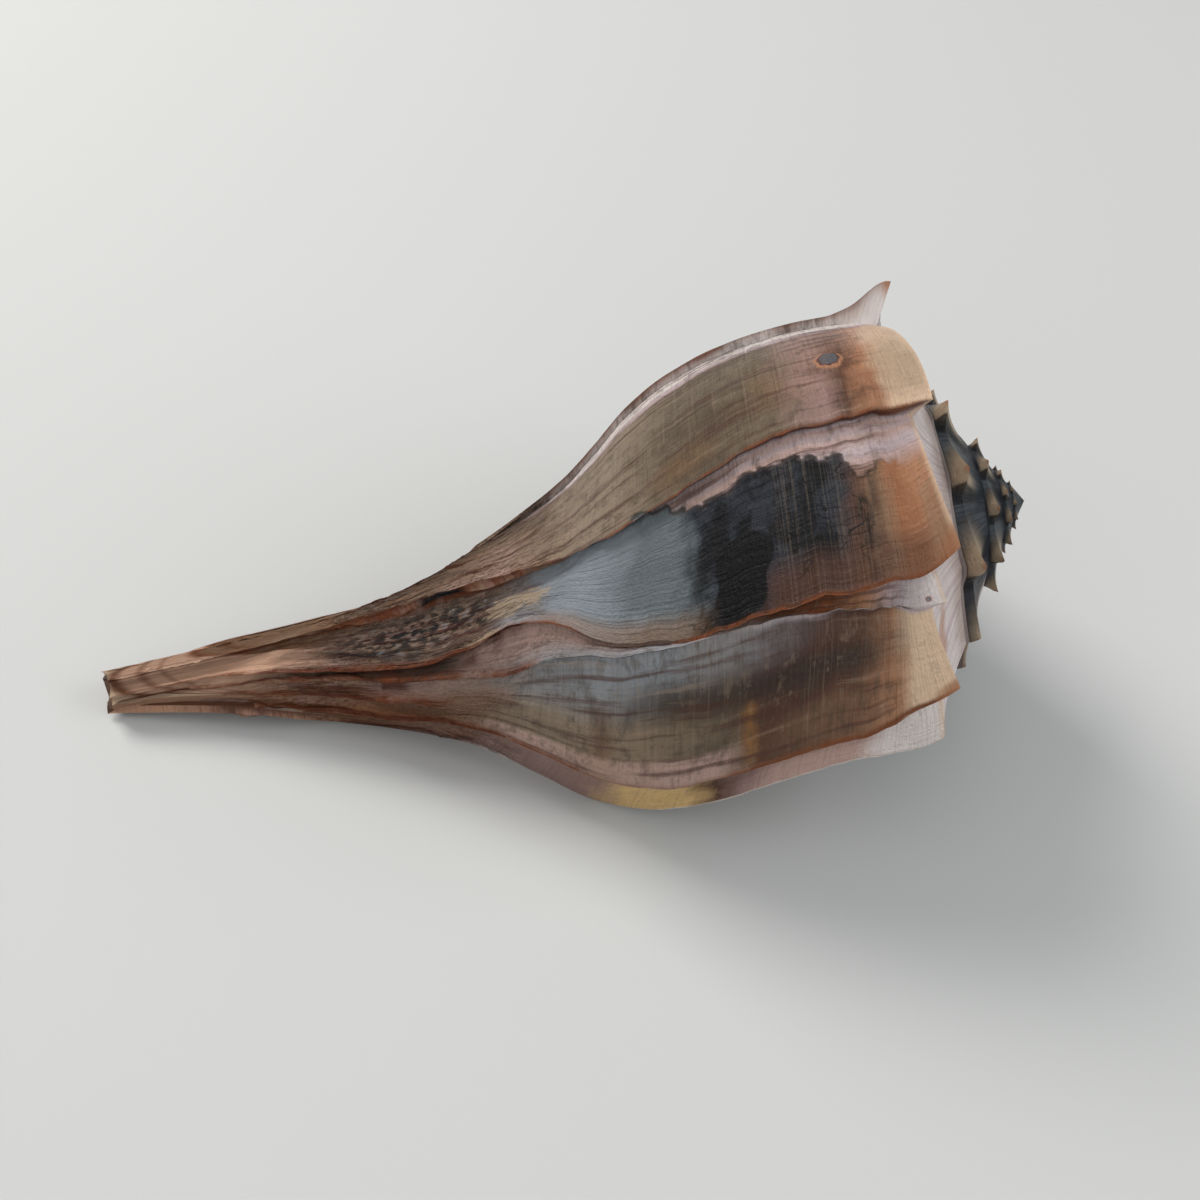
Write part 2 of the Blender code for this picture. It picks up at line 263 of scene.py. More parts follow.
def wall(turn, depth, relief):
    """Radius, angle and depth below the apex of the wall, at a depth below the shoulder.

    relief is 1 where the spines and old edges show and 0 on the smooth inner surfaces.
    """
    turn, depth = np.broadcast_arrays(np.asarray(turn, float), depth)
    scale, start, dip = shoulder(turn)
    at_lip = depth / scale
    radius = scale * through(at_lip, PROFILE_DEPTHS, PROFILE_RADII)
    below_apex = start + depth
    taper = ease(below_apex, CANAL_ROOT_DEPTH, SHELL_LENGTH)
    tube = CANAL_RADIUS_AT_BODY + (CANAL_RADIUS_AT_TIP - CANAL_RADIUS_AT_BODY) * taper
    inner = ease(-turn, 0.62, 0.98)
    tube = tube * (1 - inner) + COLUMN_RADIUS * inner
    radius = (radius + tube + np.sqrt((radius - tube) ** 2 + BLEND**2)) / 2
    out, up, edge = lip_waves(turn, at_lip)
    last = ease(turn, -1.15, -0.95)
    reach = SPINE_REACH * np.sqrt(scale) * last + KNOB_REACH * scale * (1 - last)
    crest = np.exp(-((depth / reach) ** 2))
    sunk = np.exp(-((depth / (DIP_REACH * np.sqrt(scale))) ** 2))
    on_body = ease(at_lip, 0, 12) * (1 - 0.1 * ease(at_lip, 75, 110))
    radius = radius + relief * (out * crest + edge * on_body)
    below_apex = below_apex + dip * sunk - relief * up * crest
    near_lip = ease(turn, -0.12, -0.02)
    lean = (1 - near_lip) * through(at_lip, LEAN_DEPTHS, LEAN_BODY)
    lean = lean + near_lip * through(at_lip, LEAN_DEPTHS, LEAN_LIP)
    frayed = ease(turn, -1.1, -0.98) * swing(turn, at_lip)
    return radius, LIP_ANGLE + TURN * (turn + frayed) + np.radians(lean), below_apex


def ramp(turn, share, relief):
    """The sloping ledge from the seam on the whorl before (share 0) to the shoulder (1)."""
    turn, share = np.broadcast_arrays(np.asarray(turn, float), share)
    seam = SUTURE_BELOW_SHOULDER * GROWTH_PER_WHORL ** (turn - 1)
    seam_r, seam_angle, seam_d = wall(turn - 1, seam, 1)
    top_r, top_angle, top_d = wall(turn, np.zeros_like(turn), 0)
    out, up, _ = lip_waves(turn, share)
    peak = relief * share ** (3.5 - 1.5 * ease(-turn, 0.95, 1.1))
    radius = seam_r + (top_r - seam_r) * share + out * peak
    angle = seam_angle + TURN + (top_angle - seam_angle - TURN) * share
    hook = relief * share ** (9 - 6 * ease(-turn, 0.95, 1.1))
    below = seam_d + (top_d - seam_d) * share**1.4 - up * hook
    hollow = RAMP_HOLLOW * GROWTH_PER_WHORL**turn * 4 * share * (1 - share)
    return radius, angle, below + hollow


def place(radius, angle, below_apex):
    """Point in the solid's frame, in millimetres, from radius, angle and depth below the apex."""
    rise, turn = AXIS_RISE, AXIS_TURN
    axis = np.array([np.cos(rise) * np.cos(turn), np.cos(rise) * np.sin(turn), np.sin(rise)])
    side = np.array([np.sin(turn), -np.cos(turn), 0])
    down = np.cross(axis, side)
    along = (SHELL_LENGTH - below_apex)[..., None] * axis
    across = np.cos(angle)[..., None] * side + np.sin(angle)[..., None] * down
    sag = SPIRE_SAG * np.clip(1 - below_apex / SPIRE_SAG_LENGTH, 0, 1) ** 2
    return AXIS_FOOT + along + radius[..., None] * across + sag[..., None] * down


def canal_end(turn):
    """Depth below the apex at which the canal ends: two points, with a notch on each side."""
    back = -turn
    seen = back % 1 / CANAL_TIP_BACK
    hidden = (back % 1 - CANAL_TIP_BACK) / (1 - CANAL_TIP_BACK)
    share = np.where(back % 1 < CANAL_TIP_BACK, seen, hidden)
    notch = 1 - np.abs(2 * np.clip(share, 0, 1) - 1) ** 2.5
    return SHELL_LENGTH - CANAL_END_NOTCH * notch


def wall_rows(turn, end):
    """Depths below the shoulder of the rows between the seam's row and the canal's end."""
    scale, start, _ = shoulder(turn)
    body = np.multiply.outer(scale, np.linspace(*BODY_ROW_SPAN, BODY_ROWS))
    share = np.arange(1, CANAL_ROWS + 1) / CANAL_ROWS
    canal = body[..., -1:] + (end - start)[..., None] * share - body[..., -1:] * share
    return np.concatenate([body, canal], axis=-1)


def inner_face(turn, end, thickness):
    """The outer wall's inner face, row by row: the smooth wall moved in by its thickness."""
    seam = SUTURE_BELOW_SHOULDER * GROWTH_PER_WHORL**turn
    seam_rows = np.multiply.outer(seam, np.arange(1, SEAM_ROWS + 1) / SEAM_ROWS)
    depths = np.concatenate([seam_rows, wall_rows(turn, end)], axis=-1)
    under_ramp = ramp(turn[:, None], ramp_shares()[1:], 0)
    under_wall = wall(turn[:, None], depths, 0)
    radius, angle, below = (np.hstack(pair) for pair in zip(under_ramp, under_wall))
    run_r = np.gradient(radius, axis=1)
    run_d = np.gradient(below, axis=1)
    length = np.hypot(run_r, run_d)
    canal = ease(below, 90, 125)
    thick = thickness[:, None] * (1 - canal) + np.minimum(thickness[:, None], CANAL_WALL) * canal
    radius = radius - thick * run_d / length
    below = below + thick * np.clip(run_r, 0, None) / length
    return radius, angle, below


def ramp_shares():
    """Shares of the way across the ramp, closer together near the shoulder."""
    return 1 - (1 - np.arange(RAMP_ROWS + 1) / RAMP_ROWS) ** 1.25


def column_turns():
    """Growth turns of one whorl's columns: close where the shell is seen, paired at old edges."""
    seen = np.linspace(0, -SEEN_BACK, SEEN_COLUMNS, endpoint=False)
    hidden = np.linspace(-SEEN_BACK, -1, HIDDEN_COLUMNS + 1)
    lips = [-row[0] for row in FORMER_LIPS]
    pairs = lips + [at + EDGE_DROP for at in lips[1:]]
    even = np.concatenate([seen, hidden])
    apart = np.abs(even[:, None] - np.array(pairs)).min(axis=1) > EDGE_DROP * 0.45
    return np.array(sorted(pairs + list(even[apart]), reverse=True))


def skin(first, second):
    """Quads between two rows, or two grids' edges, of point numbers, as whole arrays."""
    return np.stack([first[:-1], first[1:], second[1:], second[:-1]], axis=-1).reshape(-1, 4)


def grid_quads(grid):
    """Quads of a grid of point numbers, columns first."""
    corners = [grid[:-1, :-1], grid[1:, :-1], grid[1:, 1:], grid[:-1, 1:]]
    return np.stack(corners, axis=-1).reshape(-1, 4)


def wrinkles(turn, at_lip, canal):
    """Height in millimetres of the growth wrinkles and cords, stronger towards the canal.

    Each term is smooth noise drawn out along the growth lines or along the whorl.
    """
    wander = 0.9 * noise(turn * 9, at_lip / 16, 21)
    folds = noise(turn * 62 + wander, at_lip / 34, 22)
    lines = noise(turn * 170 + wander * 3, at_lip / 30, 23)
    beads = noise(turn * 60, at_lip / 2.7, 24)
    furrows = np.abs(noise(turn * 17 + 1.1 * wander, at_lip / 40, 26)) ** 0.6
    creases = np.abs(noise(turn * 41 + 1.6 * wander, at_lip / 30, 27)) ** 0.7
    cords = np.sin(TURN * at_lip / 2.6 + 1.5 * noise(turn * 14, at_lip / 9, 25))
    beaded = np.exp(-(((turn + 0.19) / 0.055) ** 2)) + 0.35
    rough = 1.5 * furrows + 0.8 * creases - 0.7 + 0.9 * beads * beaded * furrows
    body = 0.17 * folds + 0.11 * lines + 0.02 * cords
    return body * (1 - canal) + rough * canal


def pit(turn, at_lip, at_turn, at_depth, across):
    """A healed pit's hollow, 1 at its middle, and the rim round it, 1 on its crest."""
    round_way = (turn - at_turn) * TURN * SHOULDER_RADIUS * GROWTH_PER_WHORL**at_turn
    away = np.hypot(round_way, (at_lip - at_depth) * 0.62) / (across / 2)
    return np.exp(-(away**4)), np.exp(-(((away - 1.15) / 0.35) ** 2))


def dress(turn, at_lip):
    """Relief in millimetres, and the marks that the materials read, over the outside."""
    turn, at_lip = np.broadcast_arrays(np.asarray(turn, float), at_lip)
    last = ease(turn, -1.05, -0.95)
    canal = ease(at_lip, 62, 92) * (1 - 0.75 * ease(at_lip, 128, 150))
    height = wrinkles(turn, at_lip, canal) * last * ease(at_lip, -2, 6)
    start = -0.231 + 0.022 * ease(at_lip, 32, 12) - 0.012 * ease(at_lip, 40, 60)
    frayed = 0.006 * noise(at_lip / 4.2, turn * 0, 31) + 0.003 * noise(at_lip / 1.3, turn * 0, 32)
    layer = ease(turn - start - frayed, 0, 0.002) * ease(turn, -0.1455, -0.147)
    chips = ease(noise(turn * 120, at_lip / 3.2, 33) + noise(turn * 260, at_lip / 1.4, 34), 0.25, 0.5)
    near_start = ease(turn - start, 0.02, 0.004) * layer
    height = height + 0.28 * layer - 0.22 * chips * near_start
    sunk, rim = pit(turn, at_lip, *LARGE_PIT, 4.4)
    small, _ = pit(turn, at_lip, *SMALL_PIT, 1.4)
    height = height - 0.75 * sunk + 0.3 * rim - 0.5 * small
    across = turn - SLOT_TURN
    along = at_lip - SLOT_DEPTH
    slot = np.exp(-((across / 0.008) ** 2)) * np.exp(-((along / 5.5) ** 4))
    brink = np.exp(-((across / 0.018) ** 2)) * np.exp(-((along / 8.5) ** 2))
    height = height + 1.1 * brink
    height = np.maximum(height, LOWEST_RELIEF) - 1.5 * slot
    return height, layer, slot


def push_out(points, height):
    """Points moved along the grid's normals by height, worked out from neighbouring points."""
    across = np.gradient(points, axis=0)
    along = np.gradient(points, axis=1)
    normal = np.cross(along, across)
    normal /= np.linalg.norm(normal, axis=2, keepdims=True) + 1e-9
    return points + height[..., None] * normal


def shell_surface():
    """The whole closed surface: points, faces, growth coordinates and marks."""
    stretches = []
    marks = []

    def add(points, turn, at_lip, knob, past, layer, gap, height):
        """Numbers of new points, in the grid's shape, with what the materials read."""
        begin = sum(len(stretch) for stretch in stretches)
        stretches.append(points.reshape(-1, 3))
        columns = [turn, at_lip, knob, past, layer, gap, height]
        shape = points.shape[:-1]
        marks.append(np.stack([np.broadcast_to(c, shape).ravel() for c in columns], axis=1))
        return begin + np.arange(int(np.prod(shape))).reshape(shape)

    turns = column_turns()
    whorl = len(turns) - 1
    total = int(whorl * (1 + SPIRE_WHORLS))
    numbers = np.arange(total + 1)
    growth = (turns[numbers % whorl] - numbers // whorl)[:, None]
    scale = GROWTH_PER_WHORL**growth
    last = growth[: whorl + 1]
    shares = ramp_shares()

    def knobs(turn, below):
        """How near a point is to a spine's tip, and how deep in the hollow past one, 0 to 1."""
        full = KNOB_OUT * GROWTH_PER_WHORL**turn
        out, _, _ = lip_waves(turn, below)
        before, _, _ = lip_waves(turn - 0.5 * KNOB_DROP, below)
        reach = np.exp(-((below / 3.5) ** 2))
        past = np.clip((before - out) / full * 2, 0, 1)
        return np.clip(out / full, 0, 1) * reach, past * np.exp(-((below / 6) ** 2))

    ramp_lip = -RAMP_SPAN * (1 - shares) + 0 * growth
    ramp_points = place(*ramp(growth, shares, 1))
    folds = noise(growth * 55, shares * 1.5, 41) + 0.6 * noise(growth * 140, shares * 3, 42)
    ramp_height = 0.30 * scale * folds * ease(shares, 0, 0.3) * ease(shares, 1, 0.8)
    ramps = add(
        push_out(ramp_points, ramp_height),
        growth,
        ramp_lip,
        *knobs(growth, ramp_lip * 0.55),
        0,
        0,
        folds * 0.4,
    )
    seam = SUTURE_BELOW_SHOULDER * scale
    seam_depths = seam * np.arange(1, SEAM_ROWS) / SEAM_ROWS
    crests = add(
        place(*wall(growth, seam_depths, 1)),
        growth,
        seam_depths / scale,
        *knobs(growth, seam_depths / scale),
        0,
        0,
        0,
    )
    end = canal_end(last[:, 0])
    depths = np.hstack([seam[: whorl + 1], wall_rows(last[:, 0], end)])
    at_lip = depths / scale[: whorl + 1]
    height, layer, gap = dress(last, at_lip)
    quiet = ease(-last, 0, 0.004) * ease(-last, 1, 0.985) * ease(at_lip, 4.4, 7)
    quiet = quiet * ease(np.arange(depths.shape[1])[::-1], -0.5, 3)
    wall_points = push_out(place(*wall(last, depths, 1)), height * quiet)
    walls = add(wall_points, last, at_lip, *knobs(last, at_lip), layer, gap, height)
    seam_line = np.concatenate([walls[:-1, 0], ramps[: total + 1 - whorl, 0]])
    spire = np.hstack([ramps, crests, seam_line[:, None]])
    below_seam = np.hstack([seam_line[: whorl + 1, None], walls[:, 1:]])

    back = HOLLOW_BACK * (np.arange(HOLLOW_STEPS + 1) / HOLLOW_STEPS) ** 1.15
    open_steps = int((back <= CANAL_OPEN_BACK).sum()) - 1
    hollow_scale, start, _ = shoulder(-back)
    shut = ease(back, CANAL_OPEN_BACK, CANAL_OPEN_BACK + CANAL_CLOSING)
    floor = start + HOLLOW_FLOOR * hollow_scale
    outer_end = canal_end(-back) * (1 - shut) + floor * shut
    inner_end = canal_end(-back - 1) * (1 - shut) + floor * shut
    thickness = LIP_THICKNESS + (WALL_THICKNESS - LIP_THICKNESS) * ease(back, 0, 0.05)
    column_depths = wall_rows(-back - 1, inner_end)
    column_lip = column_depths / hollow_scale[:, None] * GROWTH_PER_WHORL
    column_points = place(*wall(-back[:, None] - 1, column_depths, 0))
    column_side = add(column_points[1:], -back[1:, None], column_lip[1:], 0, 0, 0, 0, 0)
    column_side = np.vstack([walls[whorl, 1:], column_side])
    inner_radius, inner_angle, inner_below = inner_face(-back, outer_end, thickness)
    inner_points = place(inner_radius, inner_angle, inner_below)
    inner_lip = (inner_below - start[:, None]) / hollow_scale[:, None]
    wall_side = add(inner_points, -back[:, None], inner_lip, 0, 0, 0, 0, 0)
    wall_side = np.hstack([column_side[:, :1], wall_side])
    lead = wall_side.shape[1] - column_side.shape[1]

    apex_mark = [np.array([value]) for value in (-SPIRE_WHORLS, 0, 0, 0, 0, 0, 0)]
    zero = np.zeros(1)
    apex = int(add(place(zero, zero, zero), *apex_mark)[0])
    rim = np.concatenate([ramps[total - whorl :, 0], spire[total][1:-1]])
    outside = [grid_quads(spire), grid_quads(below_seam)]
    outside.append(skin(np.concatenate([spire[0], walls[0, 1:]]), wall_side[0]))
    fans = [(int(b), int(a), apex) for a, b in zip(rim, np.roll(rim, -1))]
    inside = [grid_quads(wall_side[::-1]), grid_quads(column_side)]
    closed = slice(open_steps, None)
    inside.append(skin(column_side[closed, -1], wall_side[closed, -1]))
    inside.append(skin(wall_side[-1, lead:], column_side[-1]))
    deep = int(column_side[-1, 0])
    deep_rim = wall_side[-1, : lead + 1]
    inner_fans = [
        (int(a), int(b), deep) for a, b in zip(deep_rim, deep_rim[1:]) if deep not in (a, b)
    ]
    ring = np.concatenate(
        [walls[:, -1], column_side[1 : open_steps + 1, -1], wall_side[open_steps::-1, -1]]
    )
    outer_faces = np.vstack(outside).tolist() + fans + [ring.tolist()]
    inner_faces = np.vstack(inside).tolist() + inner_fans
    return np.vstack(stretches), outer_faces, inner_faces, np.vstack(marks)


# What each point carries beside its growth coordinates, for the materials: how near a spine's
# tip it is, the hollow past a spine (painted shade goes there), the slate layer, the slot in the
# canal and the relief
MARKS = ("knob", "past", "layer", "gap", "height")


class Sheet:
    """One material's nodes: node() adds one, with its settings first, then values or links."""

    def __init__(self, name):
        self.material = bpy.data.materials.new(name)
        self.material.use_nodes = True
        self.tree = self.material.node_tree
        self.shader = self.tree.nodes["Principled BSDF"]

    def node(self, kind, settings, inputs, output=0):
        """Adds a node and returns one of its outputs as a Value."""
        added = self.tree.nodes.new(kind)
        for key, setting in settings.items():
            if key == "stops":
                self.set_stops(added.color_ramp, setting)
            else:
                setattr(added, key, setting)
        for key, value in inputs.items():
            self.put(added.inputs[key], value)
        return Value(self, added.outputs[output])

    def set_stops(self, color_ramp, stops):
        """Gives a ramp its stops, each a place and a colour."""
        while len(color_ramp.elements) > 1:
            color_ramp.elements.remove(color_ramp.elements[-1])
        for n, (at, colour) in enumerate(stops):
            element = color_ramp.elements[0] if n == 0 else color_ramp.elements.new(at)
            element.position = at
            element.color = colour

    def put(self, socket, value):
        """Links a Value to a socket, or sets the socket's own value."""
        if isinstance(value, Value):
            self.tree.links.new(value.socket, socket)
        else:
            socket.default_value = value

    def finish(self, name, value):
        """Feeds one of the shader's sockets."""
        self.put(self.shader.inputs[name], value)

    def mix(self, share, first, second, blend="MIX"):
        """Colour between first and second, at a share from 0 to 1."""
        settings = {"data_type": "RGBA", "blend_type": blend, "clamp_factor": True}
        return self.node("ShaderNodeMix", settings, {0: share, 6: first, 7: second}, 2)

    def rough(self, x, y, scale, detail=2.0, spread=0.5, z=0.0):
        """Noise from about 0 to 1 on a plane of two values."""
        spot = self.node("ShaderNodeCombineXYZ", {}, {0: x, 1: y, 2: z})
        inputs = {"Vector": spot, "Scale": scale, "Detail": detail, "Roughness": spread}
        return self.node("ShaderNodeTexNoise", {"noise_dimensions": "3D"}, inputs)

    def cells(self, x, y):
        """Distance to the nearest border of uneven cells on a plane of two values."""
        spot = self.node("ShaderNodeCombineXYZ", {}, {0: x, 1: y})
        settings = {"feature": "DISTANCE_TO_EDGE"}
        return self.node("ShaderNodeTexVoronoi", settings, {"Vector": spot})

    def log_of(self, value):
        """The natural logarithm of a value that is kept above nought."""
        above = self.node("ShaderNodeMath", {"operation": "MAXIMUM"}, {0: value, 1: 0.001})
        return self.node("ShaderNodeMath", {"operation": "LOGARITHM"}, {0: above, 1: float(np.e)})

    def step(self, value, low, high):
        """0 below low and 1 above high, smooth between; low may be the greater."""
        if low > high:
            return 1 - self.step(value, high, low)
        settings = {"interpolation_type": "SMOOTHSTEP"}
        return self.node("ShaderNodeMapRange", settings, {0: value, 1: low, 2: high, 3: 0.0, 4: 1.0})

    def near(self, value, middle, reach):
        """1 at middle, falling smoothly to 0 at reach on either side."""
        return self.step(abs(value - middle), reach, 0.0)

    def spot(self, turn, depth, at_turn, at_depth, turns, depths):
        """1 at one place on the shell, falling smoothly to 0 around it."""
        away = ((turn - at_turn) / turns) ** 2 + ((depth - at_depth) / depths) ** 2
        return self.step(away, 1.0, 0.0)


class Value:
    """A shader number: sums, products and powers of it add Math nodes."""

    def __init__(self, sheet, socket):
        self.sheet = sheet
        self.socket = socket

    def math(self, operation, first, second=0.0):
        return self.sheet.node("ShaderNodeMath", {"operation": operation}, {0: first, 1: second})

    def __add__(self, other):
        return self.math("ADD", self, other)

    def __sub__(self, other):
        return self.math("SUBTRACT", self, other)

    def __rsub__(self, other):
        return self.math("SUBTRACT", other, self)

    def __mul__(self, other):
        return self.math("MULTIPLY", self, other)

    def __truediv__(self, other):
        return self.math("DIVIDE", self, other)

    def __pow__(self, other):
        return self.math("POWER", self, other)

    def __abs__(self):
        return self.math("ABSOLUTE", self)

    __radd__ = __add__
    __rmul__ = __mul__


def paint(red, green, blue):
    """A colour as seen, 0 to 255, as the renderer's linear value."""
    seen = np.array([red, green, blue]) / 255
    linear = np.where(seen <= 0.04045, seen / 12.92, ((seen + 0.055) / 1.055) ** 2.4)
    return (*(float(part) for part in linear), 1.0)


OLIVE = paint(102, 89, 72)
OLIVE_PALE = paint(136, 120, 102)
OLIVE_DARK = paint(72, 62, 50)
SLATE = paint(82, 88, 94)
SLATE_DARK = paint(42, 45, 52)
TEAL_GREY = paint(100, 108, 112)
NEAR_BLACK = paint(8, 7, 8)
BLUE_GREY = paint(136, 143, 150)
PURPLE_BROWN = paint(74, 46, 38)
PLUM = paint(150, 121, 116)
UMBER = paint(88, 57, 43)
PURPLE_DARK = paint(50, 40, 36)
CANAL_DARK = paint(52, 34, 28)
CANAL_PALE = paint(156, 124, 104)
RUST = paint(114, 60, 28)
RED_BROWN = paint(78, 34, 22)
ORANGE = paint(156, 104, 72)
AMBER = paint(142, 98, 52)
CREAM = paint(212, 182, 154)
PINK = paint(188, 156, 146)
LILAC = paint(188, 172, 176)
WHITE = paint(222, 212, 208)
TAN = paint(138, 106, 82)
YELLOW = paint(222, 186, 128)
SALMON = paint(174, 124, 92)
SAND = paint(178, 156, 130)
PORCELAIN = paint(226, 204, 182)
PEACH = paint(216, 160, 122)
SHELL_PINK = paint(214, 172, 146)

# Growth bands on the body: where each begins, in whorls from the lip, and its colour
OLDER_BANDS = (
    (-1.05, OLIVE),
    (-0.90, PURPLE_BROWN),
    (-0.872, UMBER),
    (-0.866, PINK),
    (-0.85, SLATE),
    (-0.78, OLIVE),
    (-0.747, UMBER),
    (-0.741, PINK),
    (-0.72, OLIVE),
    (-0.65, SLATE_DARK),
    (-0.627, RUST),
    (-0.621, LILAC),
    (-0.60, TEAL_GREY),
    (-0.54, OLIVE),
    (-0.512, UMBER),
    (-0.506, PINK),
    (-0.48, SLATE),
    (-0.42, OLIVE_PALE),
    (-0.40, TAN),
)
YOUNGER_BANDS = (
    (-0.42, AMBER),
    (-0.405, UMBER),
    (-0.399, SALMON),
    (-0.3945, SALMON),
    (-0.3925, RUST),
    (-0.3895, WHITE),
    (-0.372, WHITE),
    (-0.364, LILAC),
    (-0.357, PLUM),
    (-0.345, OLIVE),
    (-0.2475, OLIVE),
    (-0.2435, UMBER),
    (-0.2405, LILAC),
    (-0.2375, PINK),
    (-0.2355, LILAC),
    (-0.2325, PINK),
    (-0.224, LILAC),
    (-0.205, SALMON),
    (-0.150, TAN),
    (-0.1445, RUST),
    (-0.1415, PINK),
    (-0.124, PINK),
    (-0.1125, WHITE),
    (-0.1085, LILAC),
    (-0.1045, BLUE_GREY),
    (-0.070, OLIVE),
    (-0.0565, OLIVE),
    (-0.0525, RUST),
    (-0.0495, CREAM),
    (-0.012, PINK),
    (-0.004, CREAM),
    (0.0, WHITE),
)

# The newer stages, each between two old edges: where it starts and ends, in whorls from the
# lip, and its colours at depths below the shoulder
STAGES = (
    (
        *(-0.356, -0.2465),
        (
            *((0, CREAM), (7, CREAM), (11, SALMON), (17, UMBER), (23, PLUM), (32, OLIVE)),
            *((50, OLIVE), (64, OLIVE_PALE), (82, OLIVE_PALE), (94, TAN)),
        ),
    ),
    (
        *(-0.1405, -0.1140),
        ((0, WHITE), (12, LILAC), (19, SALMON), (25, RUST), (36, UMBER), (43, PINK), (90, PINK)),
    ),
    (
        *(-0.1065, -0.0555),
        (
            *((0, CREAM), (7, CREAM), (13, SALMON), (19, UMBER), (27, PURPLE_BROWN), (36, UMBER)),
            *((43, OLIVE), (58, OLIVE_PALE), (76, OLIVE_PALE), (90, TAN)),
        ),
    ),
    (
        *(-0.0490, -0.0030),
        (
            *((0, WHITE), (11, WHITE), (17, PINK), (31, PINK), (36, PLUM), (41, UMBER)),
            *((46, YELLOW), (57, YELLOW), (63, PLUM), (82, PLUM), (95, TAN)),
        ),
    ),
)
SLATE_LAYER = (
    *((0, LILAC), (2.5, SALMON), (9, ORANGE), (13, TAN), (18, UMBER), (24, SLATE_DARK)),
    *((46, SLATE_DARK), (51, TEAL_GREY), (60, TEAL_GREY), (69, BLUE_GREY), (82, BLUE_GREY)),
)

# Old edges stained with rust: whorls before the lip, and the depths where the stain shows
RUSTY_EDGES = (
    (0.052, 6, 38),
    (0.052, 66, 125),
    (0.078, 92, 130),
    (0.112, 78, 150),
    (0.145, 1, 50),
    (0.145, 72, 150),
    (0.244, 5, 125),
    (0.510, 0, 150),
    (0.625, 0, 150),
    (0.745, 0, 150),
    (0.870, 0, 150),
)

# The nested rust lines at the canal's tip: millimetres from the main one, reach and strength
TIP_LINES = ((0.0, 2.6, 0.85), (-6.0, 1.8, 0.55), (-10.5, 1.3, 0.4), (9.0, 1.8, 0.3))


def growth_marks(sheet):
    """Growth turn, depth below the shoulder in millimetres, and the named marks."""
    spot = sheet.node("ShaderNodeUVMap", {"uv_map": "growth"}, {})
    turn = sheet.node("ShaderNodeSeparateXYZ", {}, {0: spot}, 0)
    depth = sheet.node("ShaderNodeSeparateXYZ", {}, {0: spot}, 1) * DEPTH_IN_MAP
    named = {
        name: sheet.node("ShaderNodeAttribute", {"attribute_name": name}, {}, 2)
        for name in MARKS
    }
    return turn, depth, named


def band_colour(sheet, along, bands):
    """The growth bands' colour at a growth turn."""
    first = bands[0][0]
    span = bands[-1][0] - first
    stops = [((at - first) / span, colour) for at, colour in bands]
    return sheet.node("ShaderNodeValToRGB", {"stops": stops}, {0: (along - first) / span})


def between(sheet, value, low, high, soft):
    """1 between low and high, falling smoothly to 0 over soft beyond each."""
    return sheet.step(value, low - soft, low) * sheet.step(value, high + soft, high)


def depth_colour(sheet, depth, stops):
    """A stage's colour at a depth below the shoulder, given at depths up to 100 mm."""
    shares = [(at / 100, colour) for at, colour in stops]
    return sheet.node("ShaderNodeValToRGB", {"stops": shares}, {0: depth / 100.0})


